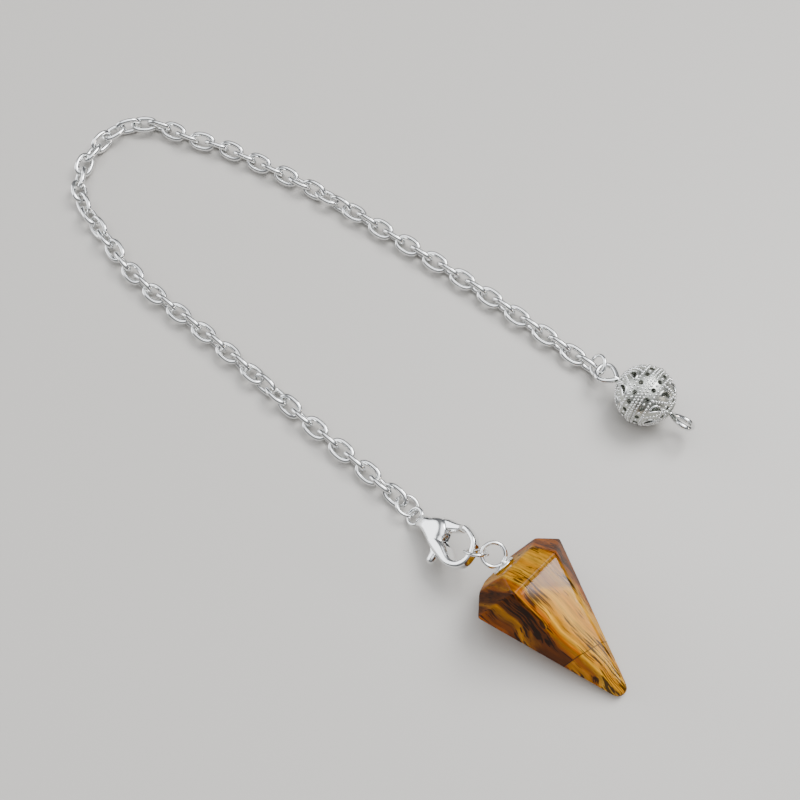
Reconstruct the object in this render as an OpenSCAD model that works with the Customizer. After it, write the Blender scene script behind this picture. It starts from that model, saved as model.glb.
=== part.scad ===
// Pendulum pendant that lies on a table: a cut stone point, a lobster clasp,
// an oval link chain and a pierced ball on an eye pin. Millimetres, +Z up.

/* [Stone] */
// Radius of the sharp girdle hexagon at its corners
girdle_r = 7.1; // [6.5:0.1:7.6]
// Share of the girdle that the table takes
table_share = 0.68; // [0.6:0.02:0.76]
// Height of the crown, from the girdle to the table
crown_h = 2.1; // [1.7:0.1:2.5]
// Length of the pavilion, from the girdle to its sharp point
point_l = 20.9; // [19:0.1:23]
// Radius of the worn tip
tip_r = 1; // [0.6:0.1:1.3]
// Radius of the softened girdle edge
girdle_round = 0.45; // [0.3:0.05:0.6]
// Radius of the softened table edge
table_round = 0.25; // [0.15:0.05:0.4]
// How far the uneven corner of the top facet strays outward
corner_stray = 0.6; // [0:0.1:0.8]

/* [Bail] */
// Outer diameter of the bail's ring
bail_ring_d = 3.35; // [3:0.05:3.6]
// Wire diameter of the bail's ring
bail_wire = 0.5; // [0.4:0.05:0.6]
// Diameter of the plate on the stone's table
bail_plate_d = 2.9; // [2.4:0.1:3.4]
// Thickness of the plate
bail_plate_t = 0.35; // [0.25:0.05:0.5]
// Diameter of the peg in the stone
peg_d = 1.2; // [0.9:0.1:1.4]
// Length of the peg
peg_l = 3; // [2:0.1:3.2]
// Turn of the ring about the stone's axis, in degrees
bail_turn = 15; // [0:1:30]
// Sideways place of the bail on the table
bail_off = 0.45; // [0:0.05:0.5]

/* [Clasp] */
// Greatest thickness of the clasp's body
clasp_t = 2.5; // [2.4:0.05:2.6]
// Radius of the domed faces
dome_r = 20; // [19:1:28]
// Outer radius of the eye
eye_r = 1.35; // [1.3:0.05:1.4]
// Thickness of the eye's round rim
eye_wire = 0.56; // [0.5:0.02:0.6]
// Width of the slot that the lever turns in
slot_w = 0.9; // [0.86:0.02:0.94]
// Thickness of the lever inside the slot
lever_t = 0.8; // [0.76:0.02:0.82]
// Thickness of the gate outside the slot
gate_t = 1.8; // [1.6:0.1:1.9]
// Thickness of the thumb tab outside the slot
tab_t = 1; // [0.9:0.1:1.3]
// Radius of the rivet
rivet_r = 0.3; // [0.28:0.01:0.31]
// Angle that the open gate turns through, in degrees, shown at 0
gate_open = 0; // [0:1:28]

/* [Chain] */
// Outer length of a link
link_l = 3.95; // [3.9:0.05:4]
// Outer width of a link
link_w = 2.7; // [2.65:0.05:2.8]
// Wire diameter of a link
link_wire = 0.68; // [0.64:0.01:0.69]
// Distance between neighbouring links
pitch = 2.325; // [2.3:0.005:2.33]

/* [Jump rings] */
// Outer diameter of the ring between the bail and the hook
hook_ring_d = 3.2; // [3.1:0.05:3.4]
// Wire diameter of the hook ring
hook_ring_wire = 0.42; // [0.38:0.01:0.43]
// Outer diameter of the ring in the clasp's eye
eye_ring_d = 3.4; // [3.36:0.02:3.5]
// Wire diameter of the ring in the clasp's eye
eye_ring_wire = 0.5; // [0.46:0.01:0.52]
// Outer diameter of the ring beside the ball
ball_ring_d = 3.2; // [3.15:0.05:3.3]
// Wire diameter of the ring beside the ball
ball_ring_wire = 0.5; // [0.4:0.01:0.55]

/* [Ball and eye pin] */
// Diameter of the ball over its seam
ball_d = 8; // [7.8:0.1:8.2]
// Outer diameter of the pierced shell
shell_d = 7.7; // [7.5:0.1:7.8]
// Thickness of the shell
shell_t = 0.5; // [0.4:0.05:0.7]
// Diameter of the pin holes
pin_hole_d = 1.9; // [1.85:0.05:2.1]
// Wire diameter of the eye pin
pin_wire = 0.65; // [0.6:0.01:0.66]
// Outer diameter of the eye pin's loops
loop_d = 3.25; // [3.1:0.05:3.3]
// Distance from the ball's centre to the centre of each loop
loop_reach = 5.85; // [5.8:0.05:6]

/* [Hidden] */

// Colours of the stone and of the plated metal
stone_colour = "#b8721f";
metal_colour = "#d4d6d8";
steel_colour = "#a9acb0";

// Middle of the whole lay, which becomes the origin
middle = [-0.22, 0.075];

// Stone: the pavilion facet below lies flat, so the axis dips by this angle
apothem = girdle_r * cos(30);
dip = atan2(apothem, point_l);
stone_heading = -45.75;
stray_corner = 2;
peg_gap = 0.05;
peg_room = 0.2;
bail_gap = 0.02;
ring_sink = 0.08;
bail_ring_x = -crown_h - bail_gap - bail_plate_t - bail_ring_d / 2 + ring_sink;

// Clasp hangs between its eye, which lies on the table, and the bail, which the
// stone holds up. All turns of the clasp and hook ring count from that line.
eye_at = [6.2, -19.95, 1.35];
hook_ring_at = [10.98, -0.85, 0.43];
ring_slack = 0.485;
bail_reach = hook_ring_at[0] + hook_ring_d / 2 - hook_ring_wire + bail_ring_d / 2 - bail_wire
    - ring_slack;
bail_heading = -36.93;
bail_rise = asin((apothem * cos(dip) - bail_ring_x * sin(dip) - eye_at[2]) / bail_reach);
bail_at = [eye_at[0], eye_at[1]] + polar(bail_reach * cos(bail_rise), bail_heading);
stone_at = bail_at - polar(bail_ring_x * cos(dip), stone_heading)
    - polar(bail_off, stone_heading - 90);
clasp_turn = [21.38, 1.52, -13.74];
pivot = [4.25, 0.45];
dome_centre = [5.2, 0.9];
cheek_r = 1.85;
hub_r = 1.1;
web_r = 2.05;
gate_root_r = 1.95;
turn_gap = 0.1;
rivet_gap = 0.03;
lever_gap = 0.06;
rivet_inset = 0.04;
// Angles about the pivot: cheek, room of the gate's web, room of the tab's arm
cheek_arc = [-5, 103];
gate_room_r = 2.6;
gate_room_arc = [-12, 104];
tab_room_r = 4.2;
tab_room_arc = [-36, -112];
arm_w = 0.9;
arm_arc = [0, -175];
arm_lean = [-10, -150];
web_arc = [28, 97];
gate_arc = [28, 84];
tab_overlap = 0.1;
tab_neck = [0.35, 0.1];
// Mouth of the spring's pocket in the head's upper rim
spring_mouth = [[1.25, 0.7], [2.7, 0.95], [2.7, 2.3], [1.25, 2.1]];

// Points of the clasp's outline, along its axis and across it
back_points = [[1.15, -0.4], [2.3, -0.35], [3.9, -0.8], [5.5, -1.4], [7, -1.7], [8.4, -1.85],
               [9.7, -1.45], [10.5, -0.5], [10.85, 0.7], [10.75, 1.9], [10, 2.9], [9.1, 3.4],
               [8.2, 3.65], [7.3, 3.6]];
mouth_points = [[7.85, 2.9], [8.9, 2.7], [9.65, 2.35], [10.08, 1.6], [10.08, 0.6], [9.65, -0.3],
                [8.95, -0.62], [8.2, -0.52], [7.5, -0.15], [6.75, 0.26]];
shoulder_points = [[2.7, 1.5], [0.85, 1.1]];
gate_outer = [[4.45, 2.53], [5.3, 2.88], [6.95, 3.3]];
gate_inner = [[7.5, 2.65], [6.3, 1.8]];
tab_root = [[6.6, -2], [5.2, -1.65]];
tab_sides = [[5.55, -2.5], [6.4, -2.5]];
tab_end = [5.95, -2.62];
tab_end_r = 0.5;

// Chain: route of the links' centres, chosen by eye, from the ball to the clasp
route = [[31, 0], [15, 13], [3.5, 21.5], [-8, 29.5], [-20.5, 36.5], [-26, 38.5], [-32, 41],
         [-37, 40], [-40.5, 35.5], [-41.5, 31], [-40.5, 27], [-36.5, 21], [-31, 14],
         [-20, 4.5], [-7, -7.5], [3.7, -17.15]];
link_count = 68;
bend_link = 36;
first_link_at = 2.4;
link_z = link_w / 2;
link_squareness = 2.4;
link_sides = 12;
wire_sides = 5;
// Roll of the flat-lying links along the chain: link number, degrees
roll_table = [[1, 0], [3, -4], [9, -8], [14, -20], [16, -20], [23, 58], [30, 57], [38, 142],
              [43, 134], [46, 108], [48, 90], [56, 85], [62, 10], [65, 10], [68, 40]];

// Jump rings: centre, then the polar angle and azimuth of the normal. The hook
// ring counts from the line between the clasp's eye and the bail.
hook_ring_turn = [46.83, 100.94];
eye_ring_at = [5.22, -18.45, 1.2];
eye_ring_turn = [22.4, 23.1];
ball_ring_at = [30.35, 0.75, 2.55];
ball_ring_turn = [57, -173];

// Ball and pin
ball_at = [35.9, -4.3];
pin_heading = -37.7;
pin_z = 3.45;
near_loop_droop = 12;
near_loop_lean = -4;
far_loop_lean = -42;
seam_w = 0.5;
seam_overlap = 0.1;
collar_wire = 0.3;
collar_r = 1.15;
cut_reach = 2;
// Rows of round holes in each half: angle from the pole, count, radius
hole_rows = [[27, 8, 0.27], [76, 16, 0.32]];
petal_angle = 50;
petal_count = 8;
petal_size = [1.5, 0.55];
petal_slant = 25;
petal_bend = 0.2;

function on_curve(a, b, c, d, t) =
    0.5 * (2 * b + (c - a) * t + (2 * a - 5 * b + 4 * c - d) * t * t
           + (3 * b - a - 3 * c + d) * t * t * t);
// Smooth curve through a list of points, with n steps between neighbours
function smooth(p, n) = let (m = len(p) - 1) [
    for (i = [0:m - 1], k = [0:n - 1])
        on_curve(i > 0 ? p[i - 1] : 2 * p[0] - p[1], p[i], p[i + 1],
                 i < m - 1 ? p[i + 2] : 2 * p[m] - p[m - 1], k / n),
    p[m]];
function arc(centre, r, from, to, n) =
    [for (k = [0:n]) let (a = from + (to - from) * k / n) centre + r * [cos(a), sin(a)]];
function running(p) = [for (i = 0, s = 0; i < len(p); i = i + 1, s = i < len(p)
    ? s + norm(p[i] - p[i - 1]) : s) s];
function polar(r, a) = [r * cos(a), r * sin(a)];
function spow(v, e) = sign(v) * pow(abs(v), e);

module laid() {
    translate([-middle[0], -middle[1], 0]) children();
}

module wire_ring(outer, wire) {
    rotate_extrude($fn = 72) translate([(outer - wire) / 2, 0]) circle(d = wire, $fn = 32);
}

// Stone frame: +X from the table to the tip, origin at the girdle's centre
module in_stone_frame() {
    laid() translate([stone_at[0], stone_at[1], apothem * cos(dip)])
        rotate([0, dip, stone_heading]) children();
}

module corner_balls(x, ring, ball, stray) {
    for (i = [0:5])
        translate([x, 0, 0]) rotate([i * 60, 0, 0])
            translate([0, ring + (i == stray_corner ? stray : 0), 0]) sphere(ball, $fn = 24);
}

module stone() {
    girdle_ring = girdle_r - girdle_round / cos(dip) / cos(30);
    table_ring = girdle_r * table_share - table_round * 0.6;
    color(stone_colour) in_stone_frame() difference() {
        hull() {
            corner_balls(0, girdle_ring, girdle_round, corner_stray);
            corner_balls(table_round - crown_h, table_ring, table_round, corner_stray);
            translate([point_l - tip_r / sin(dip), 0, 0]) sphere(tip_r, $fn = 32);
        }
        translate([-1.5 * crown_h, -bail_off, 0]) rotate([0, 90, 0])
            cylinder(d = peg_d + 2 * peg_gap, h = peg_l + peg_room + crown_h / 2, $fn = 32);
    }
}

module bail() {
    color(metal_colour) in_stone_frame() translate([0, -bail_off, 0]) {
        translate([-crown_h - bail_gap - bail_plate_t, 0, 0]) rotate([0, 90, 0])
            cylinder(d = bail_plate_d, h = bail_plate_t, $fn = 48);
        translate([-crown_h - bail_gap - bail_plate_t / 2, 0, 0]) rotate([0, 90, 0])
            cylinder(d = peg_d, h = peg_l, $fn = 32);
        translate([bail_ring_x, 0, 0]) rotate([bail_turn, 0, 0]) wire_ring(bail_ring_d, bail_wire);
    }
}

module ring_at(place, turn, outer, wire) {
    color(metal_colour) translate(place) rotate([0, turn[0], turn[1]]) wire_ring(outer, wire);
}

// Hanging frame: +X from the clasp's eye to the bail's ring
module in_hanging_frame() {
    laid() translate(eye_at) rotate([0, -bail_rise, bail_heading]) children();
}

module hook_ring() {
    in_hanging_frame() ring_at(hook_ring_at, hook_ring_turn, hook_ring_d, hook_ring_wire);
}

module clasp_chain_ring() {
    laid() ring_at(eye_ring_at, eye_ring_turn, eye_ring_d, eye_ring_wire);
}

module ball_ring() {
    laid() ring_at(ball_ring_at, ball_ring_turn, ball_ring_d, ball_ring_wire);
}

// Clasp frame: +X from the eye to the hook, +Y towards the gate
module in_clasp_frame() {
    in_hanging_frame() rotate(clasp_turn) children();
}

module slab(t) {
    translate([0, 0, -t / 2]) linear_extrude(t) children();
}

module dome(side) {
    translate([dome_centre[0], dome_centre[1], side * (dome_r - clasp_t / 2)])
        sphere(dome_r, $fn = 128);
}

module body_outline() {
    polygon(concat(smooth(back_points, 4), smooth(mouth_points, 4),
                   arc(pivot, cheek_r, cheek_arc[0], cheek_arc[1], 14), shoulder_points));
}

// Room for the lever: the hub, the web of the gate and the arm of the tab
module lever_room() {
    translate(pivot) circle(hub_r + turn_gap, $fn = 48);
    polygon(concat([pivot], arc(pivot, gate_room_r, gate_room_arc[0], gate_room_arc[1], 12)));
    polygon([pivot + polar(arm_w, arm_arc[0]), pivot + polar(tab_room_r, tab_room_arc[0]),
             pivot + polar(tab_room_r, tab_room_arc[1]), pivot + polar(hub_r, arm_arc[1])]);
}

module clasp_body() {
    color(metal_colour) in_clasp_frame() difference() {
        union() {
            intersection() {
                slab(clasp_t) body_outline();
                dome(-1);
                dome(1);
            }
            wire_ring(2 * eye_r, eye_wire);
        }
        slab(slot_w) lever_room();
        slab(slot_w) polygon(spring_mouth);
        slab(1.4 * clasp_t) translate(pivot) circle(rivet_r + rivet_gap, $fn = 32);
    }
}

module lever_plate() {
    translate(pivot) circle(hub_r, $fn = 48);
    polygon(concat([pivot], arc(pivot, web_r, web_arc[0], web_arc[1], 8)));
    polygon([pivot + polar(arm_w, arm_lean[0]), tab_root[0] - [tab_overlap, 0],
             tab_root[1] + [tab_overlap, 0], pivot + polar(arm_w, arm_lean[1])]);
}

module clasp_lever() {
    color(metal_colour) in_clasp_frame()
        translate([pivot[0], pivot[1], 0]) rotate([0, 0, -gate_open])
        translate([-pivot[0], -pivot[1], 0]) difference() {
            union() {
                slab(lever_t) lever_plate();
                slab(gate_t) polygon(concat(smooth(gate_outer, 4), gate_inner,
                                            arc(pivot, gate_root_r, gate_arc[0], gate_arc[1], 8)));
                slab(tab_t) {
                    polygon([tab_root[0], tab_sides[1], tab_sides[0], tab_root[1]]);
                    polygon([tab_sides[1], tab_end + [tab_neck[0], -tab_neck[1]],
                             tab_end - tab_neck, tab_sides[0]]);
                    translate(tab_end) circle(tab_end_r, $fn = 32);
                }
            }
            slab(clasp_t) translate(pivot) circle(rivet_r + lever_gap, $fn = 32);
        }
}

module clasp_rivet() {
    color(steel_colour) in_clasp_frame() translate([pivot[0], pivot[1], 0])
        cylinder(r = rivet_r, h = clasp_t - 2 * rivet_inset, center = true, $fn = 32);
}

// One oval link about the origin, lying flat along X, as a closed mesh
module oval_link() {
    half = [(link_l - link_wire) / 2, (link_w - link_wire) / 2];
    points = [for (i = [0:link_sides - 1], j = [0:wire_sides - 1])
        let (a = 360 * i / link_sides, b = 360 * j / wire_sides,
             x = half[0] * spow(cos(a), 2 / link_squareness),
             y = half[1] * spow(sin(a), 2 / link_squareness),
             out = [cos(a) / half[0], sin(a) / half[1]],
             n = out / norm(out))
        [x + n[0] * cos(b) * link_wire / 2, y + n[1] * cos(b) * link_wire / 2,
         sin(b) * link_wire / 2]];
    faces = [for (i = [0:link_sides - 1], j = [0:wire_sides - 1])
        let (i2 = (i + 1) % link_sides, j2 = (j + 1) % wire_sides)
        [i * wire_sides + j, i * wire_sides + j2, i2 * wire_sides + j2, i2 * wire_sides + j]];
    polyhedron(points, faces, convexity = 4);
}

fine_route = smooth(route, 8);
route_s = running(fine_route);
function route_point(s) = [lookup(s, [for (i = [0:len(route_s) - 1]) [route_s[i], fine_route[i][0]]]),
                           lookup(s, [for (i = [0:len(route_s) - 1]) [route_s[i], fine_route[i][1]]])];

module chain(first, last) {
    color(metal_colour) laid() for (i = [first:last]) {
        s = first_link_at + (i - 1) * pitch;
        place = route_point(s);
        ahead = route_point(s + pitch / 4) - route_point(s - pitch / 4);
        translate([place[0], place[1], link_z])
            rotate([lookup(i, roll_table) + 90 * (i % 2), 0, atan2(ahead[1], ahead[0])])
                oval_link();
    }
}

module chain_ball_side() {
    chain(1, bend_link);
}

module chain_clasp_side() {
    chain(bend_link + 1, link_count);
}

// Ball frame: +X along the pin, towards the far loop
module in_ball_frame(z) {
    laid() translate([ball_at[0], ball_at[1], z]) rotate([0, 0, pin_heading]) children();
}

module eye_pin() {
    loop_r = (loop_d - pin_wire) / 2;
    stem = loop_reach - loop_r;
    color(metal_colour) in_ball_frame(pin_z) {
        translate([-stem, 0, 0]) rotate([0, 90, 0]) cylinder(d = pin_wire, h = 2 * stem, $fn = 32);
        translate([-stem, 0, 0]) rotate([near_loop_lean, -near_loop_droop, 0])
            translate([-loop_r, 0, 0]) wire_ring(loop_d, pin_wire);
        translate([loop_reach, 0, 0]) rotate([far_loop_lean, 0, 0]) wire_ring(loop_d, pin_wire);
    }
}

// Cutter that reaches through the shell at an angle from the pole
module at_shell(from_pole, around) {
    rotate([0, from_pole, around]) translate([0, 0, shell_d / 2 - cut_reach / 2]) children();
}

module half_cuts() {
    for (row = hole_rows, k = [0:row[1] - 1])
        at_shell(row[0], (k + 0.5) * 360 / row[1])
            cylinder(r = row[2], h = cut_reach, $fn = 24);
    for (k = [0:petal_count - 1])
        rotate([0, 0, k * 360 / petal_count]) rotate([0, petal_angle, 0])
            translate([0, 0, shell_d / 2 - cut_reach / 2]) rotate([0, 0, petal_slant])
                linear_extrude(cut_reach) petal();
}

module petal() {
    half_l = petal_size[0] / 2;
    half_w = petal_size[1] / 2;
    polygon([for (k = [0:7]) let (a = k * 45) [half_l * cos(a), half_w * sin(a) + petal_bend * cos(2 * a)]]);
}

module filigree_ball() {
    color(metal_colour) in_ball_frame(ball_d / 2) rotate([0, 90, 0]) difference() {
        union() {
            difference() {
                sphere(d = shell_d, $fn = 96);
                sphere(d = shell_d - 2 * shell_t, $fn = 96);
                half_cuts();
                mirror([0, 0, 1]) half_cuts();
            }
            difference() {
                cylinder(d = ball_d, h = seam_w, center = true, $fn = 96);
                cylinder(d = shell_d - 2 * shell_t + seam_overlap, h = 2 * seam_w, center = true,
                         $fn = 96);
            }
            for (side = [-1, 1])
                translate([0, 0, side * (sqrt(pow(shell_d / 2, 2) - pow(collar_r, 2)))])
                    wire_ring(2 * collar_r + collar_wire, collar_wire);
        }
        cylinder(d = pin_hole_d, h = 1.25 * ball_d, center = true, $fn = 48);
    }
}

stone();
bail();
hook_ring();
clasp_body();
clasp_lever();
clasp_rivet();
clasp_chain_ring();
chain_clasp_side();
chain_ball_side();
ball_ring();
eye_pin();
filigree_ball();
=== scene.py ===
"""Pendulum pendant on a table: a cut stone point, a lobster clasp, an oval link chain and a
pierced ball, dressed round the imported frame. Where nothing else is said, lengths in the working
code are millimetres and angles degrees."""

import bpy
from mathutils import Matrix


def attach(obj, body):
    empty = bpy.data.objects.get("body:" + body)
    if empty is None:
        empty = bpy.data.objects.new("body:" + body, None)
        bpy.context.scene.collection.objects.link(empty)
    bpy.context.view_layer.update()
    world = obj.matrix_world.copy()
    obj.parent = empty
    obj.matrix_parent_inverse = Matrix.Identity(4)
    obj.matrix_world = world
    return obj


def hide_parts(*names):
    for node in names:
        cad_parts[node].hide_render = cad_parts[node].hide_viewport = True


bl_info = {
    "name": "Pendulum Pendant",
    "version": (1, 0, 0),
    "blender": (4, 5, 0),
    "location": "View3D > Sidebar > Pendulum",
    "description": "Builds the looks of a stone pendulum on its chain",
    "category": "Object",
}

import math

import bmesh
import bpy
import numpy as np
from bpy.props import (FloatProperty, FloatVectorProperty, IntProperty, PointerProperty,
                       StringProperty)

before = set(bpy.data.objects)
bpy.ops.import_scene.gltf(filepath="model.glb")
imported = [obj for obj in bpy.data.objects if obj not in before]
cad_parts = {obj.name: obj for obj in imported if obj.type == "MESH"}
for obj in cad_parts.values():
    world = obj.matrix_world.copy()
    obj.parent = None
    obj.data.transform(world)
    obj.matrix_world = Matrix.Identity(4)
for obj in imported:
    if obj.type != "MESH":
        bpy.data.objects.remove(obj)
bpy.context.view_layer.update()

MM = 0.001

# Where the pieces lie. MIDDLE moves the lay's coordinates to the frame's origin.
MIDDLE = np.array([-0.22, 0.075, 0.0])
STONE_AT = (18.451, -29.35)
STONE_HEADING = -45.75
CLASP_EYE = (6.2, -19.95, 1.35)
CLASP_TURN = (27.998, -23.995, -51.994)
BALL_AT = (35.9, -4.3, 4.0)
PIN_AT = (35.9, -4.3, 3.45)
PIN_HEADING = -37.7


# Settings

def length(name, words, value):
    """A length setting: value is in millimetres, kept in metres."""
    return FloatProperty(name=name, description=words, default=value * MM, unit="LENGTH",
                         precision=5)


def colour(name, words, value):
    """A colour setting kept as an sRGB hex code."""
    return StringProperty(name=name, description=words, default=value)


class PendulumStoneSettings(bpy.types.PropertyGroup):
    """Sizes and colours of the tiger's eye point."""
    girdle_r: length("Girdle radius", "From the axis to a corner of the girdle", 7.1)
    table_r: length("Table radius", "From the axis to a corner of the table", 4.85)
    crown_h: length("Crown height", "From the girdle to the table", 2.1)
    point_l: length("Point length", "From the girdle to the sharp point", 20.9)
    tip_reach: length("Tip reach", "From the girdle to the worn tip", 18.36)
    tip_r: length("Tip radius", "Radius of the worn tip", 1.05)
    stray: length("Uneven corner", "How far one corner of the top facet strays", 0.6)
    edge_power: FloatProperty(name="Edge power", description="Higher is a crisper facet edge",
                              default=75, min=20, max=200)
    pale: colour("Pale gold", "Colour of the palest fibre bands", "#d29a2c")
    gold: colour("Gold band", "Colour of the bright fibre bands", "#bd7a10")
    amber: colour("Amber band", "Colour of the middle bands", "#a35407")
    brown: colour("Brown band", "Colour of the dark bands", "#5c2c05")
    # The dark fibres' own colour, also used for the painted shade on the crown
    streak_and_shade: colour("Streak", "Colour of the fine dark fibres", "#180a02")
    # Colour of the painted shade, a dull dark patch below the girdle
    painted_shade: colour("Cloud", "Colour of the dull cloud below the girdle", "#3a2616")


class PendulumMetalSettings(bpy.types.PropertyGroup):
    """Sizes and colours of the wire pieces and of the plated finish."""
    link_l: length("Link length", "Outer length of a link", 3.95)
    link_w: length("Link width", "Outer width of a link", 2.7)
    link_wire: length("Link wire", "Wire diameter of a link", 0.7)
    pitch: length("Pitch", "Distance between neighbouring links", 2.325)
    ring_d: length("Ring diameter", "Outer diameter of the hook and ball rings", 3.2)
    hook_ring_wire: length("Hook ring wire", "Wire diameter of the hook ring", 0.42)
    eye_ring_d: length("Eye ring diameter", "Outer diameter of the ring in the clasp's eye", 3.4)
    ring_wire: length("Ring wire", "Wire diameter of the other two rings", 0.5)
    bail_ring_d: length("Bail ring diameter", "Outer diameter of the bail's ring", 3.35)
    bail_wire: length("Bail wire", "Wire diameter of the bail's ring", 0.5)
    bail_plate_d: length("Bail plate", "Diameter of the plate on the stone", 2.9)
    bail_plate_t: length("Bail plate thickness", "Thickness of the plate", 0.35)
    pin_wire: length("Pin wire", "Wire diameter of the eye pin", 0.7)
    loop_reach: length("Loop reach", "From the ball's centre to the middle of a loop", 5.85)
    plate: colour("Plating", "Colour of the bright plating", "#eceded")
    # Darker than the plating: painted shade in the gaps between the grains; the roughness gives
    # the satin finish
    frosted: colour("Frosted plating", "Colour of the ground between the grains", "#bec1ba")
    steel: colour("Steel", "Colour of the rivet", "#a7a9ad")


class PendulumClaspSettings(bpy.types.PropertyGroup):
    """Sizes of the lobster clasp."""
    eye_r: length("Eye radius", "Middle radius of the eye's rim", 1.07)
    eye_wire: length("Eye rim", "Thickness of the eye's rim", 0.56)
    thick: length("Body thickness", "Greatest thickness of the body", 2.5)
    slot_w: length("Slot width", "Width of the slot for the lever", 0.9)
    lever_t: length("Lever thickness", "Thickness of the lever in the slot", 0.76)
    rivet_r: length("Rivet radius", "Radius of the rivet's shank", 0.3)
    cell: length("Skin cell", "Cell size of the cast skin", 0.055)


class PendulumBallSettings(bpy.types.PropertyGroup):
    """Sizes of the granulated work on the pierced ball."""
    shell_r: length("Shell radius", "Outer radius of the pierced shell", 3.85)
    grain_r: length("Grain radius", "Radius of the beaded grains", 0.2)
    petals: IntProperty(name="Petals", description="Petal openings in each half", default=8,
                        min=3, max=12)


class PendulumStageSettings(bpy.types.PropertyGroup):
    """Camera, light and floor."""
    eye: FloatVectorProperty(name="Camera place", description="Where the camera stands", size=3,
                             default=(0.0045, -0.07487, 0.149), subtype="TRANSLATION",
                             unit="LENGTH")
    elevation: FloatProperty(name="Camera elevation", description="Angle down from level",
                             default=math.radians(64.3), subtype="ANGLE", unit="ROTATION")
    lens: FloatProperty(name="Lens", description="Focal length in millimetres", default=56.3)
    floor: colour("Floor", "Colour of the table top", "#bfbcb7")
    sky: FloatProperty(name="Room light", description="Strength of the even light round the set",
                       default=0.32, min=0, max=2)
    sky_tint: colour("Room tint", "Colour of the room light", "#f3f5f8")


# Small tools

def linear(code):
    """sRGB hex code to linear RGBA."""
    s = np.array([int(code[k:k + 2], 16) for k in (1, 3, 5)]) / 255
    low = s <= 0.04045
    return tuple(np.where(low, s / 12.92, ((s + 0.055) / 1.055) ** 2.4)) + (1.0,)


def turned(x, y, z):
    """Matrix that turns about X, then Y, then Z, in degrees."""
    cx, cy, cz = np.cos(np.radians([x, y, z]))
    sx, sy, sz = np.sin(np.radians([x, y, z]))
    mx = np.array([[1, 0, 0], [0, cx, -sx], [0, sx, cx]])
    my = np.array([[cy, 0, sy], [0, 1, 0], [-sy, 0, cy]])
    mz = np.array([[cz, -sz, 0], [sz, cz, 0], [0, 0, 1]])
    return mz @ my @ mx


def angles(m):
    """X, Y and Z angles in radians of a turn matrix that turns about X, then Y, then Z."""
    return math.atan2(m[2, 1], m[2, 2]), -math.asin(m[2, 0]), math.atan2(m[1, 0], m[0, 0])


def placed(points, turn, at):
    """Points turned by a matrix, moved to a place of the lay and brought to the frame's origin."""
    return points @ turn.T + np.asarray(at, float) - MIDDLE


def smooth(points, steps, closed=False):
    """Catmull-Rom curve through the points: each span is the cubic whose slope at a point is half
    the chord between that point's neighbours."""
    p = np.asarray(points, float)
    if closed:
        p = np.vstack([p[-1:], p, p[:2]])
    else:
        p = np.vstack([2 * p[0] - p[1], p, 2 * p[-1] - p[-2]])
    a, b, c, d = (p[k:len(p) - 3 + k, None, :] for k in range(4))
    t = (np.arange(steps) / steps)[None, :, None]
    out = 0.5 * (2 * b + (c - a) * t + (2 * a - 5 * b + 4 * c - d) * t ** 2
                 + (3 * b - a - 3 * c + d) * t ** 3)
    out = out.reshape(-1, p.shape[1])
    return out if closed else np.vstack([out, p[-2]])


def strip(grid, along=False):
    """Faces of a grid of points, m rings of n points: quads between neighbours, wrapped around
    the rings, and either wrapped along them too or with one face on each end."""
    m, n = grid.shape[:2]
    i = np.arange(m if along else m - 1)[:, None]
    j = np.arange(n)[None, :]
    i2, j2 = (i + 1) % m, (j + 1) % n
    quads = np.stack([i * n + j, i * n + j2, i2 * n + j2, i2 * n + j], -1).reshape(-1, 4)
    caps = [] if along else [np.arange(n)[::-1], np.arange(n) + (m - 1) * n]
    return grid.reshape(-1, 3), [quads] + caps


def joined(parts):
    """Several (points, faces) parts as one."""
    points, faces, start = [], [], 0
    for p, fs in parts:
        points.append(p)
        faces += [f + start for f in fs]
        start += len(p)
    return np.vstack(points), faces


def superellipse(power, n):
    """Two coordinates of n points on |a|^power + |b|^power = 1."""
    f = np.linspace(0, 2 * np.pi, n, endpoint=False)
    c, d = np.cos(f), np.sin(f)
    return (np.sign(c) * np.abs(c) ** (2 / power), np.sign(d) * np.abs(d) ** (2 / power))


def tube(path, up, wide, high, closed=False, power=2.0, sides=12):
    """Profile carried along a path that lies in a plane: the profile is the superellipse
    |a / wide|^power + |b / high|^power = 1, with a across the path in its plane and b along up,
    the plane's normal. wide and high may change along the path."""
    path = np.asarray(path, float)
    if closed:
        tangent = np.roll(path, -1, 0) - np.roll(path, 1, 0)
    else:
        tangent = np.gradient(path, axis=0)
    tangent = tangent / np.linalg.norm(tangent, axis=1)[:, None]
    up = np.broadcast_to(np.asarray(up, float), path.shape)
    side = np.cross(up, tangent)
    a, b = superellipse(power, sides)
    wide, high = (np.broadcast_to(np.asarray(v, float), len(path))[:, None, None]
                  for v in (wide, high))
    grid = (path[:, None, :] + side[:, None, :] * a[None, :, None] * wide
            + up[:, None, :] * b[None, :, None] * high)
    return strip(grid, along=closed)


# Points round a wire, and round a ring of wire
WIRE_SIDES, RING_POINTS = 18, 96


def round_wire(path, wire, up=(0, 0, 1), closed=False, sides=WIRE_SIDES):
    """Round wire along a path in the plane that up stands on."""
    return tube(path, up, wire / 2, wire / 2, closed, sides=sides)


def circle_path(r, n=RING_POINTS, start=0.0, cut_deg=0.0):
    """Circle in the XY plane, or one with a cut of that many degrees."""
    if cut_deg:
        a = np.radians(start + np.linspace(cut_deg / 2, 360 - cut_deg / 2, n))
    else:
        a = np.radians(start) + np.linspace(0, 2 * np.pi, n, endpoint=False)
    return np.column_stack([r * np.cos(a), r * np.sin(a), np.zeros(n)])


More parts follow.
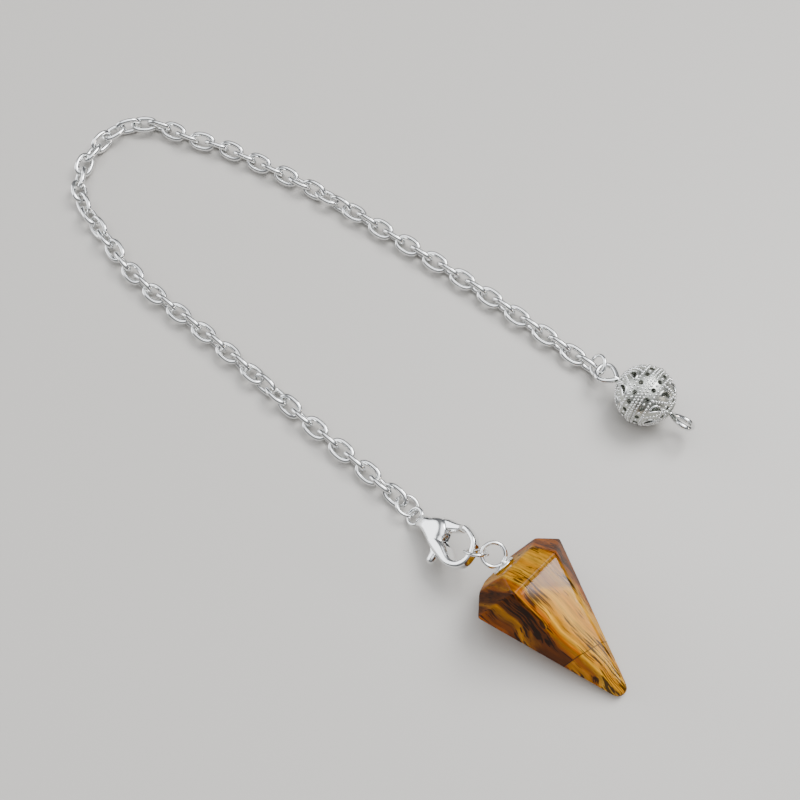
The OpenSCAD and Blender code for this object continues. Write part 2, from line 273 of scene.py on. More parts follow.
def pillow(outline, centre, half, power, dome=0.0, rings=24):
    """Closed slab over an outline: ring k is the outline drawn in to the share cos(t)^(2/power)
    of its reach from the centre, at the height half * sin(t)^(2/power), with t from -90 to 90
    degrees, so the rim is round and the faces are nearly flat. dome lowers a face by
    dome * reach squared."""
    t = np.linspace(-np.pi / 2, np.pi / 2, rings)[:, None]
    share = np.clip(np.cos(t), 1e-3, 1) ** (2 / power)
    flat = np.asarray(centre) + (np.asarray(outline) - centre)[None] * share[:, :, None]
    reach = np.sum((flat - centre) ** 2, -1)
    z = np.sign(np.sin(t)) * np.abs(np.sin(t)) ** (2 / power) * (half - dome * reach)
    return strip(np.concatenate([flat, z[:, :, None]], -1))


def lathe(profile, sides=64):
    """Profile of (distance along X, radius) turned once about X."""
    p = np.asarray(profile, float)
    a = np.linspace(0, 2 * np.pi, sides, endpoint=False)
    x = np.broadcast_to(p[:, None, 0], (len(p), sides))
    return strip(np.stack([x, p[:, None, 1] * np.cos(a), p[:, None, 1] * np.sin(a)], -1))


def prism(outline, low, high):
    """Straight-sided slab over an outline, from low to high."""
    o = np.asarray(outline, float)
    return strip(np.stack([np.column_stack([o, np.full(len(o), z)]) for z in (low, high)]))


def arc(centre, r, start, end, n):
    """Points on a circle from one angle to another, in degrees."""
    a = np.radians(np.linspace(start, end, n))
    return np.asarray(centre) + r * np.column_stack([np.cos(a), np.sin(a)])


def shape(name, part, scale=1.0):
    """Mesh object of a part, faces turned outwards, not yet given a material or a body."""
    points, faces = part
    polygons = [f for fs in faces for f in np.atleast_2d(fs).tolist()]
    mesh = bpy.data.meshes.new(name)
    mesh.from_pydata((points * scale).tolist(), [], polygons)
    bm = bmesh.new()
    bm.from_mesh(mesh)
    bmesh.ops.recalc_face_normals(bm, faces=bm.faces)
    bm.to_mesh(mesh)
    bm.free()
    obj = bpy.data.objects.new(name, mesh)
    bpy.context.scene.collection.objects.link(obj)
    return obj


def finished(obj, material, body, nodes=(), crease=None):
    """Gives a piece its material and body, and hides the frame nodes that it stands for. Edges
    with more than the crease's angle stay sharp."""
    obj.data.materials.clear()
    obj.data.materials.append(material)
    obj.data.shade_smooth()
    if crease is not None:
        obj.data.set_sharp_from_angle(angle=math.radians(crease))
    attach(obj, body)
    if nodes:
        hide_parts(*nodes)


def plated(context, name, part, nodes=(), crease=None):
    """A plated piece of the main body, from a part in its place, in millimetres."""
    finished(shape(name, part, MM), metal(context, "plate"), "pendulum", nodes, crease)


def modified(obj, kind, **settings):
    """Adds a modifier and bakes it into the mesh."""
    m = obj.modifiers.new(kind.lower(), kind)
    for key, value in settings.items():
        setattr(m, key, value)
    graph = bpy.context.evaluated_depsgraph_get()
    mesh = bpy.data.meshes.new_from_object(obj.evaluated_get(graph))
    obj.modifiers.clear()
    old, obj.data = obj.data, mesh
    bpy.data.meshes.remove(old)


def cast_skin(name, part, cell, rounds):
    """One closed, softly rounded skin over overlapping closed parts, as a die casting has: a
    voxel skin of that cell size, eased a few rounds."""
    obj = shape(name, part)
    modified(obj, "REMESH", mode="VOXEL", voxel_size=cell, use_smooth_shade=True)
    modified(obj, "SMOOTH", factor=0.5, iterations=rounds)
    return obj


def cut(obj, part):
    """Cuts a closed part out of an object."""
    tool = shape("cutter", part)
    modified(obj, "BOOLEAN", operation="DIFFERENCE", object=tool, solver="EXACT")
    bpy.data.objects.remove(tool)


def to_frame(obj, turn, at):
    """Moves a mesh worked in millimetres about its own origin to its place in the frame."""
    mesh = obj.data
    co = np.empty(len(mesh.vertices) * 3, np.float32)
    mesh.vertices.foreach_get("co", co)
    co = placed(co.reshape(-1, 3).astype(float), turn, at) * MM
    mesh.vertices.foreach_set("co", co.astype(np.float32).ravel())
    mesh.update()


# Materials

def node(tree, kind, feeds=None, stops=(), **settings):
    """Adds one node: settings are its attributes, and feeds maps an input to the output that
    feeds it or to a constant. stops are a colour ramp's (place, colour) pairs."""
    n = tree.nodes.new(kind)
    for key, value in settings.items():
        setattr(n, key, value)
    for key, value in (feeds or {}).items():
        if isinstance(value, bpy.types.NodeSocket):
            tree.links.new(value, n.inputs[key])
        else:
            n.inputs[key].default_value = value
    if stops:
        marks = n.color_ramp.elements
        marks.remove(marks[-1])
        marks[0].position, marks[0].color = stops[0]
        for place, code in stops[1:]:
            marks.new(place).color = code
    return n


def maths(tree, operation, *values):
    """Output of a maths node on numbers or other outputs."""
    feeds = dict(enumerate(values))
    return node(tree, "ShaderNodeMath", feeds, operation=operation).outputs["Value"]


def vectors(tree, operation, *values):
    """Output of a vector maths node: a number for a dot product, otherwise a vector."""
    feeds = dict(enumerate(values))
    n = node(tree, "ShaderNodeVectorMath", feeds, operation=operation)
    return n.outputs["Value" if operation == "DOT_PRODUCT" else "Vector"]


def ranged(tree, value, low, high, to_low=0.0, to_high=1.0, **settings):
    """Output of a map range node, kept within its ends: low gives to_low, and high to_high."""
    feeds = {"Value": value, "From Min": low, "From Max": high, "To Min": to_low,
             "To Max": to_high}
    return node(tree, "ShaderNodeMapRange", feeds, **settings).outputs["Result"]


def noise(tree, place, scale, detail, rough=0.5, out="Fac"):
    """Output of a noise texture with that many features to a unit of its place."""
    feeds = {"Vector": place, "Scale": scale, "Detail": detail, "Roughness": rough}
    return node(tree, "ShaderNodeTexNoise", feeds).outputs[out]


def mixed(tree, share, first, second):
    """Output of a mix of two colours, with the second by that share."""
    feeds = {0: share, 6: first, 7: second}
    return node(tree, "ShaderNodeMix", feeds, data_type="RGBA").outputs[2]


def new_material(name):
    """A material and its empty tree."""
    m = bpy.data.materials.new(name)
    m.use_nodes = True
    m.node_tree.nodes.clear()
    return m, m.node_tree


def surface(tree, feeds):
    """Ends a material's tree with a principled surface."""
    shader = node(tree, "ShaderNodeBsdfPrincipled", feeds)
    node(tree, "ShaderNodeOutputMaterial", {"Surface": shader.outputs["BSDF"]})


# Haze on the metal: size of its drift, and the noise values that it spans
HAZE_SIZE, HAZE_SPAN = 2.2, (0.3, 0.7)


def plated_metal(name, code, low, high, grain_mm, dent_mm):
    """Plating on polished brass: a mirror with a faint haze from tumbling, so the roughness
    drifts a little and the finest dents break up the highlights."""
    m, tree = new_material(name)
    place = node(tree, "ShaderNodeTexCoord").outputs["Object"]
    rough = ranged(tree, noise(tree, place, 1 / (HAZE_SIZE * MM), 3.0), *HAZE_SPAN, low, high)
    bump = node(tree, "ShaderNodeBump", {"Height": noise(tree, place, 1 / (grain_mm * MM), 2.0),
                                         "Strength": 1.0, "Distance": dent_mm * MM})
    surface(tree, {"Base Color": linear(code), "Metallic": 1.0, "Roughness": rough,
                   "Normal": bump.outputs["Normal"]})
    return m


# Metals: material name, colour setting, least and greatest roughness, dent size and depth
METALS = {"plate": ("Bright plating on polished brass", "plate", 0.07, 0.16, 0.12, 0.0012),
          # Its colour is darker than the plating's, painted shade between the grains
          "frosted": ("Frosted plating between the grains", "frosted", 0.3, 0.4, 0.16, 0.012),
          "steel": ("Plain turned steel", "steel", 0.22, 0.34, 0.08, 0.0012)}


def metal(context, kind):
    """One of the metal finishes, made at its first use."""
    name, code, *rest = METALS[kind]
    made = bpy.data.materials.get(name)
    return made or plated_metal(name, getattr(context.scene.pendulum_metal, code), *rest)


# Layers across the stone: distance from the axis, and the colour that shows there
# The bands at -6.6 and -6.1 mm, on the left facet, are drawn darker than the stone's own banding:
# painted shade on that unlit side
LAYERS = [(-7.2, "amber"), (-6.6, "amber"), (-6.1, "brown"), (-5.6, "gold"), (-5.1, "brown"),
          (-4.75, "brown"), (-4.4, "brown"), (-4.15, "amber"), (-3.9, "gold"), (-3.5, "amber"),
          (-3.15, "gold"), (-2.7, "pale"), (-2.1, "gold"), (-1.2, "pale"), (-0.2, "gold"),
          (1.0, "pale"), (2.3, "gold"), (3.1, "amber"), (4.0, "brown"), (5.0, "amber"),
          (6.2, "brown"), (7.4, "amber")]
# Half of the way across that the ramp of the layers spans
HALF_SPAN = 8
# Turn of the layers from the stone's own axes
LAYER_TURN = (-6.4, 0, 7.6)
# Slow bends of the layers: their size and how far they go
BEND_SIZE, BEND_BY = 6, 1.5
# Noise drawn out along the fibres: size along, across the layers and aside, detail, roughness.
# THICKER is where the dark fibres are thicker.
RIPPLES = (24, 0.8, 7, 3.0, 0.5)
SILK = (10, 0.3, 1.5, 4.0, 0.62)
FIBRES = (8.5, 0.15, 1.3, 2.0, 0.5)
THICKER = (7, 1.3, 3.2, 2.0, 0.5)
# Planes in the stone's own axes, as the normal and the distance: the healed crack, and the end
# of the painted shade below the girdle
CRACK = ((0.954, -0.242, 0.176), 11.36)
SHADE_PLANE = ((0.731, -0.659, -0.177), 0.63)
# The crack: half width, the layers' shift as a share of the span, and the distances at which its
# dark line ends and is full
CRACK_HALF, CRACK_SHIFT, CRACK_LINE = 0.05, 0.035, (0.09, 0.03)
# The painted shade below the girdle: half width of its edge, and its strength
SHADE_FADE, SHADE_SHARE = 0.25, 0.5


def tiger_eye(context):
    """Polished tiger's eye: quartz in parallel layers of silky fibres. Wide bands of gold, amber
    and brown show where a facet lies along the layers, and thin ones where it cuts them. Dark
    fibres are about 0.1 mm wide, drawn at 0.15 mm so that they show. A healed crack shifts the
    layers a little. Painted shade darkens the crown and a dull patch below the girdle. The polish
    is a thin clear coat."""
    s = context.scene.pendulum_stone
    m, tree = new_material("Polished tiger's eye")
    place = node(tree, "ShaderNodeTexCoord").outputs["Object"]
    turn, at = stone_turn(s)
    layers = turned(*LAYER_TURN)
    # Layer axes: X along the fibres, Y across the layers
    own = node(tree, "ShaderNodeMapping",
               {"Vector": place, "Location": tuple((at - MIDDLE) * MM),
                "Rotation": angles(turn @ layers)}, vector_type="TEXTURE").outputs["Vector"]
    wander = noise(tree, own, 1 / (BEND_SIZE * MM), 1.5, out="Color")
    centred = vectors(tree, "SUBTRACT", wander, (0.5, 0.5, 0.5))
    bent = vectors(tree, "MULTIPLY_ADD", centred, (0.0, BEND_BY * MM, BEND_BY * MM), own)

    def stretched(long, thin, aside, detail, rough):
        """Noise drawn out along the fibres and thin across the layers."""
        scales = (1 / (long * MM), 1 / (thin * MM), 1 / (aside * MM))
        return noise(tree, vectors(tree, "MULTIPLY", bent, scales), 1.0, detail, rough)

    def away(point, plane):
        """Distance from the origin along a plane's normal."""
        return vectors(tree, "DOT_PRODUCT", point, tuple(layers.T @ np.array(plane[0])))

    # Distance beyond the crack, and the layers' shift there
    beyond = maths(tree, "SUBTRACT", away(bent, CRACK), CRACK[1] * MM)
    slip = ranged(tree, beyond, -CRACK_HALF * MM, CRACK_HALF * MM, 0.0, CRACK_SHIFT)
    split = node(tree, "ShaderNodeSeparateXYZ", {"Vector": bent})
    across = ranged(tree, split.outputs["Y"], -HALF_SPAN * MM, HALF_SPAN * MM)
    ripple = ranged(tree, stretched(*RIPPLES), 0.0, 1.0, -0.05, 0.05)
    band = maths(tree, "ADD", maths(tree, "ADD", across, ripple), slip)
    stops = [((y + HALF_SPAN) / (2 * HALF_SPAN), linear(getattr(s, name))) for y, name in LAYERS]
    base = node(tree, "ShaderNodeValToRGB", {"Fac": band}, stops=stops)
    # Silk: fine lighter and darker threads
    silk = ranged(tree, stretched(*SILK), 0.34, 0.66, 0.62, 1.25)
    silky = node(tree, "ShaderNodeVectorMath", {0: base.outputs["Color"], 3: silk},
                 operation="SCALE").outputs["Vector"]
    # Dark fibres, thicker in some places
    where = ranged(tree, stretched(*THICKER), 0.38, 0.62, 0.78, 1.28)
    fibre = maths(tree, "MULTIPLY", stretched(*FIBRES), where)
    fibres = ranged(tree, fibre, 0.58, 0.65, 0.0, 0.88)
    # Painted shade on the crown, most on its shaded side
    along = vectors(tree, "DOT_PRODUCT", own, tuple(layers.T[:, 0]))
    above = ranged(tree, along, 0.1 * MM, -0.5 * MM)
    side = ranged(tree, across, 0.31, 0.26, 0.36, 0.62)
    crown_shade = maths(tree, "MULTIPLY", above, side)
    # The crack's own dark line
    beside = maths(tree, "ABSOLUTE", beyond)
    line = ranged(tree, beside, CRACK_LINE[0] * MM, CRACK_LINE[1] * MM, 0.0, 0.8)
    # Dark fibres and the crack's line are the stone's own; the crown's share is painted shade
    streaks_and_shade = maths(tree, "MAXIMUM", maths(tree, "MAXIMUM", fibres, crown_shade), line)
    # Painted shade: a dull dark patch below the girdle and above its own plane
    shade_mask = ranged(tree, away(bent, SHADE_PLANE), (SHADE_PLANE[1] + SHADE_FADE) * MM,
                    (SHADE_PLANE[1] - SHADE_FADE) * MM, 0.0, SHADE_SHARE)
    below = maths(tree, "SUBTRACT", 1.0, above)
    dull = mixed(tree, maths(tree, "MULTIPLY", shade_mask, below), silky, linear(s.painted_shade))
    dark = mixed(tree, streaks_and_shade, dull, linear(s.streak_and_shade))
    bump = node(tree, "ShaderNodeBump", {"Height": noise(tree, own, 1 / (5 * MM), 1.0),
                                         "Strength": 0.25, "Distance": 0.06 * MM})
    surface(tree, {"Base Color": dark, "Roughness": 0.5, "IOR": 1.54, "Specular IOR Level": 0.0,
                   "Coat Weight": 0.2, "Coat Roughness": 0.06, "Coat IOR": 1.54,
                   "Coat Normal": bump.outputs["Normal"]})
    return m


# Pieces

# A point inside the stone from which all its surface is seen, in its own axes
HEART = np.array([4.5, 0.0, 0.0])
# The corner of the girdle and the table that strays outwards
STRAY_CORNER = 2
# Mesh of the stone: rings, points on a ring, and the power that draws the rings in to the poles
STONE_RINGS, STONE_SIDES, POLE_DRAW = 340, 240, 1.7
# Egg that the rings are spaced on: radius, and its shares ahead of the heart and behind it
EGG_R, EGG_AHEAD, EGG_BEHIND = 5.2, 0.72, 1.3
# Least share of a direction along the axis at which the worn tip counts
TIP_FROM = 0.2


def stone_turn(s):
    """Turn and place of the stone's own axes, +X to the tip. The stone lies on a facet, so the
    tangent of its dip is the apothem over the point's length."""
    apothem = s.girdle_r / MM * math.cos(math.radians(30))
    dip = math.degrees(math.atan2(apothem, s.point_l / MM))
    height = apothem * math.cos(math.radians(dip))
    return turned(0, dip, STONE_HEADING), np.array([*STONE_AT, height])


def facet_planes(s):
    """Planes of the cut stone in its own axes: rows of the normal over its distance from HEART,
    so that row . direction is one over the way to the plane."""
    corner = np.arange(6)
    a = np.radians(corner * 60)
    out = np.where(corner == STRAY_CORNER, s.stray, 0) / MM

    def hexagon(r, x):
        """Corners at the radius r, one of them strayed, at x along the axis."""
        return np.column_stack([np.full(6, x), (r + out) * np.cos(a), (r + out) * np.sin(a)])

    girdle, table = hexagon(s.girdle_r / MM, 0), hexagon(s.table_r / MM, -s.crown_h / MM)
    tip = np.array([s.point_l / MM, 0, 0])
    following = np.roll(corner, -1)
    low = np.cross(girdle[following] - girdle, tip - girdle)
    middle = (table + table[following]) / 2
    high = np.cross(girdle[following] - girdle, middle - girdle)
    normals = np.vstack([low, high, [[-1, 0, 0]]])
    points = np.vstack([girdle, girdle, [[-s.crown_h / MM, 0, 0]]])
    normals /= np.linalg.norm(normals, axis=1)[:, None]
    way = np.sum(normals * (points - HEART), 1)
    return normals / way[:, None]


def stone_surface(s):
    """Rings of points on the stone, in its own axes. Seen from HEART, the surface lies at
    1 / (sum of (row . direction)^p)^(1/p) over the facet planes and the worn tip's paraboloid,
    which rounds each edge more the farther it lies out."""
    x = np.linspace(-1, 1, STONE_RINGS)
    u = np.sign(x) * (1 - (1 - np.abs(x)) ** POLE_DRAW)
    cap, r = s.tip_reach / MM - HEART[0], s.tip_r / MM
    along = u * np.where(u > 0, cap, HEART[0] + s.crown_h / MM)
    wide = EGG_R * np.sqrt(np.clip(1 - u ** 2, 1e-7, 1)) * np.where(u > 0, EGG_AHEAD, EGG_BEHIND)
    a = np.linspace(0, 2 * np.pi, STONE_SIDES, endpoint=False)
    d = np.stack([np.broadcast_to(along[:, None], (STONE_RINGS, STONE_SIDES)),
                  wide[:, None] * np.cos(a), wide[:, None] * np.sin(a)], -1)
    d /= np.linalg.norm(d, axis=-1)[..., None]
    near = np.clip(d @ facet_planes(s).T, 0, None)
    forward = d[..., 0]
    bow = (1 - forward ** 2) / (2 * r) + 1e-9
    worn = (np.sqrt(forward ** 2 + 4 * bow * cap) - forward) / (2 * bow)
    near = np.concatenate([near, np.where(forward > TIP_FROM, 1 / worn, 0)[..., None]], -1)
    top = near.max(-1, keepdims=True)
    power = s.edge_power
    reach = 1 / (top[..., 0] * np.sum((near / top) ** power, -1) ** (1 / power))
    return HEART + d * reach[..., None]


class PENDULUM_OT_stone(bpy.types.Operator):
    """Build the tiger's eye point"""
    bl_idname = "pendulum.stone"
    bl_label = "Stone"

    def execute(self, context):
        """The cut stone, turned to lie on one facet."""
        s = context.scene.pendulum_stone
        points, faces = strip(stone_surface(s))
        obj = shape("tiger_eye_point", (placed(points, *stone_turn(s)), faces), MM)
        finished(obj, tiger_eye(context), "pendulum", ["stone"])
        return {"FINISHED"}


# Bail: gap to the stone's table, how far the ring sinks in, how far it sits aside, and its turn
BAIL_GAP, BAIL_SINK, BAIL_ASIDE, BAIL_TURN = 0.02, 0.08, -0.45, 15
# Solder cone behind the plate: distance from the plate and radius
SOLDER_CONE = ((0.02, 0.62), (0.12, 0.4), (0.28, 0.28), (0.42, 0.02))


class PENDULUM_OT_bail(bpy.types.Operator):
    """Build the bail on the stone's table"""
    bl_idname = "pendulum.bail"
    bl_label = "Bail"

    def execute(self, context):
        """Plate and solder cone are profiles turned about the stone's axis; the ring is a round
        wire carried along a circle."""
        s, stone = context.scene.pendulum_metal, context.scene.pendulum_stone
        r, t, ring = s.bail_plate_d / MM / 2, s.bail_plate_t / MM, s.bail_ring_d / MM
        wire = s.bail_wire / MM
        face = -stone.crown_h / MM - BAIL_GAP
        rim = np.radians(np.linspace(-90, 90, 9))
        edge = np.column_stack([face - t / 2 + t / 2 * -np.sin(rim),
                                r - t / 2 + t / 2 * np.cos(rim)])
        cone = [[face - t - back, wide] for back, wide in SOLDER_CONE]
        plate = lathe(np.vstack([[[face, 0.01]], edge, cone]))
        lean = turned(BAIL_TURN, 0, 0)
        path = circle_path((ring - wire) / 2) @ lean.T + [face - t - ring / 2 + BAIL_SINK, 0, 0]
        points, faces = joined([plate, round_wire(path, wire, lean[:, 2], True)])
        points = placed(points + [0, BAIL_ASIDE, 0], *stone_turn(stone))
        plated(context, "stone_bail", (points, faces), ["bail"], crease=40)
        return {"FINISHED"}


# Jump rings: settings of the diameter and the wire, centre, polar angle and azimuth of the
# normal, and turn of the cut
RINGS = (("hook_ring", "ring_d", "hook_ring_wire", (13.405, -26.429, 6.603), (56.5, 83.9), 200),
         ("clasp_chain_ring", "eye_ring_d", "ring_wire", (5.22, -18.45, 1.2), (22.4, 23.1), 60),
         ("ball_ring", "ring_d", "ring_wire", (30.35, 0.75, 2.55), (57, -173), 120))
# Width of the cut
SAW_CUT = 2.2


class PENDULUM_OT_rings(bpy.types.Operator):
    """Build the three jump rings"""
    bl_idname = "pendulum.rings"
    bl_label = "Jump rings"

    def execute(self, context):
        """Each ring is round wire carried along a circle that has a fine saw cut."""
        s = context.scene.pendulum_metal
        for name, *sizes, at, turn, start in RINGS:
            outer, wire = (getattr(s, size) / MM for size in sizes)
            path = circle_path((outer - wire) / 2, start=start, cut_deg=SAW_CUT)
            points, faces = round_wire(path, wire)
            points = placed(points, turned(0, *turn), at)
            plated(context, name + "_wire", (points, faces), [name], crease=50)
        return {"FINISHED"}


# Route of the links' centres along the table, from the ball to the clasp
ROUTE = [[31, 0], [15, 13], [3.5, 21.5], [-8, 29.5], [-20.5, 36.5], [-26, 38.5], [-32, 41],
         [-37, 40], [-40.5, 35.5], [-41.5, 31], [-40.5, 27], [-36.5, 21], [-31, 14],
         [-20, 4.5], [-7, -7.5], [3.7, -17.15]]
# Roll of the flat-lying links: link number, angle
ROLLS = [[1, 0], [3, -4], [9, -8], [14, -20], [16, -20], [23, 58], [30, 57], [38, 142],
         [43, 134], [46, 108], [48, 90], [56, 85], [62, 10], [65, 10], [68, 40]]
FIRST_LINK_AT = 2.4
LINK_COUNT, BEND_LINK = 68, 36
# Links: power of the oval's superellipse, points along it and round the wire
LINK_SQUARENESS, LINK_POINTS, LINK_SIDES = 2.4, 40, 10
# How far before and after a link its direction is read
LOOK = 0.5


def chain_part(s, first, last):
    """Links first to last: an oval of round wire, a superellipse, repeated at even steps along
    the smooth route, each second link a quarter turn on."""
    wire = s.link_wire / MM
    a, b = superellipse(LINK_SQUARENESS, LINK_POINTS)
    oval = np.column_stack([(s.link_l / MM - wire) / 2 * a, (s.link_w / MM - wire) / 2 * b,
                            np.zeros(LINK_POINTS)])
    points, faces = round_wire(oval, wire, closed=True, sides=LINK_SIDES)
    route = smooth(ROUTE, 8)
    run = np.concatenate([[0], np.cumsum(np.linalg.norm(np.diff(route, axis=0), axis=1))])

    def spot(way):
        """Point of the route that far along it."""
        return np.array([np.interp(way, run, line) for line in route.T])

    parts = []
    for i in range(first, last + 1):
        way = FIRST_LINK_AT + (i - 1) * s.pitch / MM
        ahead = spot(way + LOOK) - spot(way - LOOK)
        roll = np.interp(i, *np.transpose(ROLLS)) + 90 * (i % 2)
        turn = turned(roll, 0, math.degrees(math.atan2(ahead[1], ahead[0])))
        parts.append((placed(points, turn, (*spot(way), s.link_w / MM / 2)), faces))
    return joined(parts)


class PENDULUM_OT_chain(bpy.types.Operator):
    """Build the oval link chain"""
    bl_idname = "pendulum.chain"
    bl_label = "Chain"

    def execute(self, context):
        """Both runs of links, split at the bend."""
        s = context.scene.pendulum_metal
        for name, first, last in (("chain_ball_side", 1, BEND_LINK),
                                  ("chain_clasp_side", BEND_LINK + 1, LINK_COUNT)):
            plated(context, name + "_links", chain_part(s, first, last), [name])
        return {"FINISHED"}


# The clasp in its own axes, with the eye at the origin. Head: points round the cheeks. Hook,
# gate and tab: middle line (u, v), half width, half thickness.
HEAD = [[0.95, -0.55], [2.2, -0.5], [3.6, -0.8], [5.0, -1.25], [6.3, -1.2], [6.6, -0.4],
        [6.15, 0.35], [5.95, 1.1], [5.3, 1.95], [4.3, 2.3], [3.4, 2.0], [2.5, 1.45], [0.95, 0.75]]
HOOK = [[4.6, -0.45, 0.75, 1.2], [5.7, -0.62, 0.9, 1.2], [6.6, -0.78, 0.93, 1.17],
        [7.4, -0.98, 0.79, 1.12], [8.2, -1.17, 0.66, 1.05], [9.0, -1.13, 0.54, 0.95],
        [9.83, -0.72, 0.49, 0.82], [10.34, 0, 0.45, 0.72], [10.5, 0.8, 0.42, 0.66],
        [10.38, 1.77, 0.4, 0.65], [9.83, 2.68, 0.39, 0.7], [9.0, 3.1, 0.38, 0.78],
        [8.2, 3.28, 0.39, 0.86], [7.58, 3.24, 0.41, 0.9]]
GATE = [[4.5, 1.72, 0.78, 0.86], [5.2, 2.05, 0.8, 0.88], [5.9, 2.33, 0.71, 0.9],
        [6.6, 2.63, 0.57, 0.9], [7.2, 2.94, 0.46, 0.88]]
TAB = [[5.6, -0.9, 0.7, 0.36], [5.75, -1.6, 0.68, 0.4], [5.86, -2.1, 0.58, 0.48],
       [5.93, -2.5, 0.54, 0.5], [5.96, -2.82, 0.5, 0.46], [5.98, -3.08, 0.3, 0.26]]
# Powers of the profiles: hook and gate, and tab
BAR_POWER, TAB_POWER = 3.2, 2.4
# Cheeks: centre, power of the rim and fall of the faces
HEAD_CENTRE, HEAD_POWER, HEAD_DOME = (3.9, 0.35), 5, 0.045
PIVOT = np.array([4.25, 0.45])
# Slot in the body: radius round the hub; arc behind the gate, as radius, start, end and points;
# the tab's way, from the pivot; and the mouth of the spring's pocket
HUB_CLEAR = 1.2
GATE_ARC = (2.75, -12, 106, 16)
TAB_WAY = [[0.9, 0], [3.4, -2.5], [-1.6, -3.9], [-1.1, -0.1]]
POCKET = [[1.25, 0.7], [2.7, 0.95], [2.7, 2.3], [1.25, 2.1]]
# Lever: hub radius, the web's arc, and the arm from the pivot to the tab
HUB_R = 1.05
WEB_ARC = (2.0, 26, 98, 12)
ARM = [[0.85, -0.1], [2.2, -2.3], [0.95, -2.1], [-0.8, -0.5]]
# Cut beside the lever's web, where the cheeks are: radius, and room left on the web
CHEEK_R, WEB_ROOM = 1.93, 0.03
# Rounds that ease the two skins, and the lever's share of the cell size
BODY_EASE, LEVER_EASE, LEVER_CELL = 4, 3, 0.9
# Rivet: how far its edge lies below the body's face, and its dome's height
RIVET_BELOW, RIVET_DOME = 0.12, 0.08


def swept(table, power, steps=6, sides=28):
    """Closed tube through a table of (u, v, half width, half thickness) rows."""
    c = smooth(table, steps)
    path = np.column_stack([c[:, :2], np.zeros(len(c))])
    return tube(path, (0, 0, 1), c[:, 2], c[:, 3], power=power, sides=sides)


def sector(r, start, end, n):
    """Outline of a sector about the pivot."""
    return np.vstack([[PIVOT], arc(PIVOT, r, start, end, n)])


def clasp_body(s, half):
    """A cheek pillow, a hook carried along its middle line and a round eye under one cast skin,
    with the slot and the pocket cut after."""
    eye = round_wire(circle_path(s.eye_r / MM, 72), s.eye_wire / MM, closed=True, sides=20)
    head = pillow(smooth(HEAD, 8, True), HEAD_CENTRE, half, HEAD_POWER, HEAD_DOME)
    body = cast_skin("clasp_casting", joined([eye, head, swept(HOOK, BAR_POWER)]), s.cell / MM,
                     BODY_EASE)
    slot = s.slot_w / MM / 2
    for outline in (arc(PIVOT, HUB_CLEAR, 0, 350, 36), sector(*GATE_ARC),
                    PIVOT + np.array(TAB_WAY), POCKET):
        cut(body, prism(outline, -slot, slot))
    return body


def clasp_lever(s, half):
    """Gate, hub, web, arm and thumb tab under one cast skin, thinned where the cheeks are."""
    thin = s.lever_t / MM / 2
    hub = prism(arc(PIVOT, HUB_R, 0, 350, 36), -thin, thin)
    web = prism(sector(*WEB_ARC), -thin, thin)
    arm = prism(PIVOT + np.array(ARM), -thin, thin)
    parts = [hub, web, arm, swept(GATE, BAR_POWER), swept(TAB, TAB_POWER)]
    lever = cast_skin("clasp_lever_casting", joined(parts), s.cell / MM * LEVER_CELL, LEVER_EASE)
    for low, high in ((thin + WEB_ROOM, half + 0.1), (-half - 0.1, -thin - WEB_ROOM)):
        cut(lever, prism(arc(PIVOT, CHEEK_R, 0, 355, 72), low, high))
    return lever


def rivet_part(s, half):
    """The rivet, a shank with a low dome at each end, turned about Z."""
    dome = np.radians(np.linspace(0, 90, 6))
    end = np.column_stack([half - RIVET_BELOW + RIVET_DOME * np.sin(dome),
                           s.rivet_r / MM * np.cos(dome) + 1e-3])
    points, faces = lathe(np.vstack([end[::-1] * [-1, 1], end]), 40)
    return points @ turned(0, -90, 0).T + [*PIVOT, 0], faces


class PENDULUM_OT_clasp(bpy.types.Operator):
    """Build the lobster clasp"""
    bl_idname = "pendulum.clasp"
    bl_label = "Clasp"

    def execute(self, context):
        """The cast body and lever and the turned rivet, made about the eye and then placed."""
        s = context.scene.pendulum_clasp
        half = s.thick / MM / 2
        turn = turned(*CLASP_TURN)
        for make, body, name in ((clasp_body, "pendulum", "clasp_body"),
                                 (clasp_lever, "lever", "clasp_lever")):
            obj = make(s, half)
            to_frame(obj, turn, CLASP_EYE)
            finished(obj, metal(context, "plate"), body, [name], crease=35)
        points, faces = rivet_part(s, half)
        obj = shape("clasp_rivet_turned", (placed(points, turn, CLASP_EYE), faces), MM)
        finished(obj, metal(context, "steel"), "pendulum", ["clasp_rivet"], crease=40)
        return {"FINISHED"}


# Eye pin: half of the straight wire, where a loop starts, and half a loop's width
PIN_HALF, LOOP_ROOT, LOOP_HALF = 4.6, 4.15, 1.3
# Loops: side of the ball, lean about the pin and droop
LOOPS = ((-1, -4, -11.5), (1, -42, 0))
# Opening at the loop's root, in radians of t, and the greatest sin t sin(t/2)
LOOP_OPEN, DROP_PEAK = 0.16, 0.77


